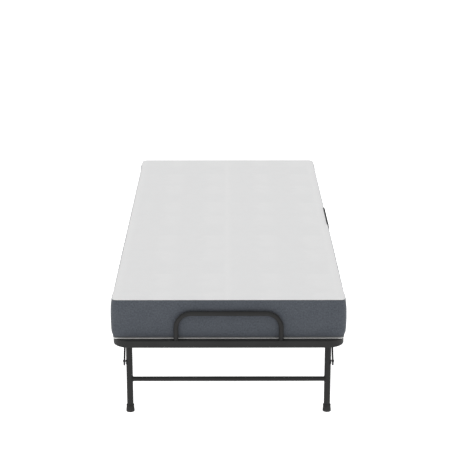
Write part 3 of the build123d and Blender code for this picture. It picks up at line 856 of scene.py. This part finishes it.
def stitch_mesh(start, stop, low, high):
    """One stitch that stands a little off the strap's face, between two (y, z) places."""
    points = []
    for q in range(5):
        t = q / 4
        y = start[0] + (stop[0] - start[0]) * t
        z = start[1] + (stop[1] - start[1]) * t
        inner, outer = strap_faces(z)
        surface = inner + (outer - inner) * strap_press(min(y - low.y, high.y - y))
        points.append(Vector((surface + STITCH_RISE * math.sin(math.pi * t), y, z)))
    return tube_mesh(points, THREAD_R, around=6, pole=RIGHT)


def build_stitching(material):
    """Boxed cross stitching at both sewn ends of the strap."""
    low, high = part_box("carry_handle")
    stitches = []
    for (y0, z0), (y1, z1) in sewn_lines(low, high):
        count = max(3, int(math.hypot(y1 - y0, z1 - z0) / STITCH))
        for s in range(count):
            a, b = (s + 0.12) / count, (s + 0.88) / count
            start = (y0 + (y1 - y0) * a, z0 + (z1 - z0) * a)
            stop = (y0 + (y1 - y0) * b, z0 + (z1 - z0) * b)
            stitches.append(stitch_mesh(start, stop, low, high))
    sewn = new_object("carry_strap_stitching", *combine(stitches), [material])
    turn_outwards(sewn)
    gather_with_fold(sewn)


# Weld beads -------------------------------------------------------------------------------------


def bead(points, radius, pole=UP):
    """Closed weld bead along points, with the ripples that its puddles leave."""
    radii = []
    for k, _ in enumerate(points):
        radii.append(radius * (0.86 + 0.22 * abs(math.sin(math.pi * k / 3))))
    return tube_mesh(points, radii, around=8, closed=True, pole=pole)


def circle(radius):
    """Evenly spaced points (a, b) round a circle."""
    turns = [2 * math.pi * k / WELD_POINTS for k in range(WELD_POINTS)]
    return [(radius * math.cos(turn), radius * math.sin(turn)) for turn in turns]


def add_welds(name, beads, material, body):
    """One piece from several weld beads, on a body."""
    made = new_object(name, *combine(beads), [material])
    turn_outwards(made)
    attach(made, body)


def build_loop_welds(end_name, material):
    """Weld beads round the feet of the retainer loop."""
    low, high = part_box(f"{end_name}_retainer_loop")
    radius, middle_y = (high.y - low.y) / 2, (high.y + low.y) / 2
    beads = []
    for x in (low.x + radius, high.x - radius):
        ring = []
        for a, b in circle(radius + 0.4 * MM):
            ring.append(Vector((x + a, middle_y + b, low.z + 0.5 * MM)))
        beads.append(bead(ring, LOOP_BEAD_R))
    add_welds(f"loop_welds_{end_name}", beads, material, f"{end_name}_section")


def build_crossbar_welds(end_name, material):
    """Weld beads round both ends of the crossbar, saddled on the legs."""
    bar_low, bar_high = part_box(f"{end_name}_crossbar")
    pad_low, pad_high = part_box(f"{end_name}_pad_right")
    leg_low, leg_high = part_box(f"{end_name}_leg_right")
    leg_x, leg_r = (pad_low.x + pad_high.x) / 2, (leg_high.y - leg_low.y) / 2
    bar_y, bar_z = (bar_low.y + bar_high.y) / 2, (bar_low.z + bar_high.z) / 2
    bar_r = (bar_high.z - bar_low.z) / 2
    beads = []
    for side in SIDES.values():
        ring = []
        for y, z in circle(bar_r + 0.5 * MM):
            x = leg_x - math.sqrt((leg_r + 0.3 * MM) ** 2 - y * y)
            ring.append(Vector((side * x, bar_y + y, bar_z + z)))
        beads.append(bead(ring, BAR_BEAD_R, pole=RIGHT))
    add_welds(f"crossbar_welds_{end_name}", beads, material, f"{end_name}_leg")


# Studio -----------------------------------------------------------------------------------------


def build_camera():
    """Camera in front of the foot end, a little above the bed."""
    data = bpy.data.cameras.new("photo_camera")
    data.lens = CAMERA_LENS
    data.sensor_width = SENSOR
    data.sensor_fit = "HORIZONTAL"
    data.clip_end = 200
    camera = bpy.data.objects.new("photo_camera", data)
    bpy.context.scene.collection.objects.link(camera)
    camera.location = CAMERA_PLACE
    camera.rotation_euler = (math.pi / 2 - CAMERA_PITCH, 0, CAMERA_YAW)
    bpy.context.scene.camera = camera


def softbox(name, place, size, power):
    """Rectangular area light that faces the bed."""
    data = bpy.data.lights.new(name, "AREA")
    data.shape = "RECTANGLE"
    data.size, data.size_y = size
    data.energy = power
    light = bpy.data.objects.new(name, data)
    bpy.context.scene.collection.objects.link(light)
    light.location = place
    light.rotation_euler = (Vector(LIT_PLACE) - Vector(place)).to_track_quat("-Z", "Y").to_euler()


def build_studio():
    """White floor, even white surroundings and soft lights."""
    corners = [(x * FLOOR_REACH, y * FLOOR_REACH, 0) for x, y in ((-1, -1), (1, -1), (1, 1), (-1, 1))]
    floor = new_object("floor", corners, [(0, 1, 2, 3)], materials=[floor_surface()], smooth=False)
    world = bpy.data.worlds.new("studio")
    world.use_nodes = True
    background = world.node_tree.nodes["Background"]
    background.inputs["Color"].default_value = (1, 1, 1, 1)
    background.inputs["Strength"].default_value = WORLD_LIGHT
    bpy.context.scene.world = world
    softbox("key", (-2.5, -2.6, 6.0), (4.0, 4.0), KEY_POWER)
    softbox("fill", (3.2, -0.6, 5.5), (4.0, 4.0), FILL_POWER)
    softbox("back", (0.0, 4.6, 5.0), (5.0, 3.0), BACK_POWER)
    settings = bpy.context.scene.view_settings
    settings.view_transform = "Standard"
    settings.look = "None"
    settings.exposure = 0
    settings.gamma = 1


def paint_nodes():
    """Gives every CAD node the finish of its slot, and returns the finishes."""
    finishes = {
        "powder_coated_steel": powder_coat(),
        "zinc_plated_steel": zinc_plate(),
        "black_rubber": dark_rubber(),
        "black_plastic": black_plastic(),
        "wheel_polymer": wheel_polymer(),
        "mattress_ticking": band_fabric(),
        "black_webbing": webbing(),
    }
    slots = {part["node"]: part["material_slot"] for part in frame["record"]["subparts"]}
    for name, node in frame["nodes"].items():
        material = finishes[slots[name]]
        if not node.material_slots:
            node.data.materials.append(material)
        for slot in node.material_slots:
            slot.material = material
    return finishes


build_camera()
build_studio()
finishes = paint_nodes()
cloths = [knit_panel(), band_fabric(), underside_fabric(), binding_tape()]
tape = piping_fabric()
for end_name in ENDS:
    build_mattress(end_name, cloths)
    build_piping(end_name, tape)
    build_loop_welds(end_name, finishes["powder_coated_steel"])
    build_crossbar_welds(end_name, finishes["powder_coated_steel"])
build_strap(finishes["black_webbing"])
build_stitching(thread())
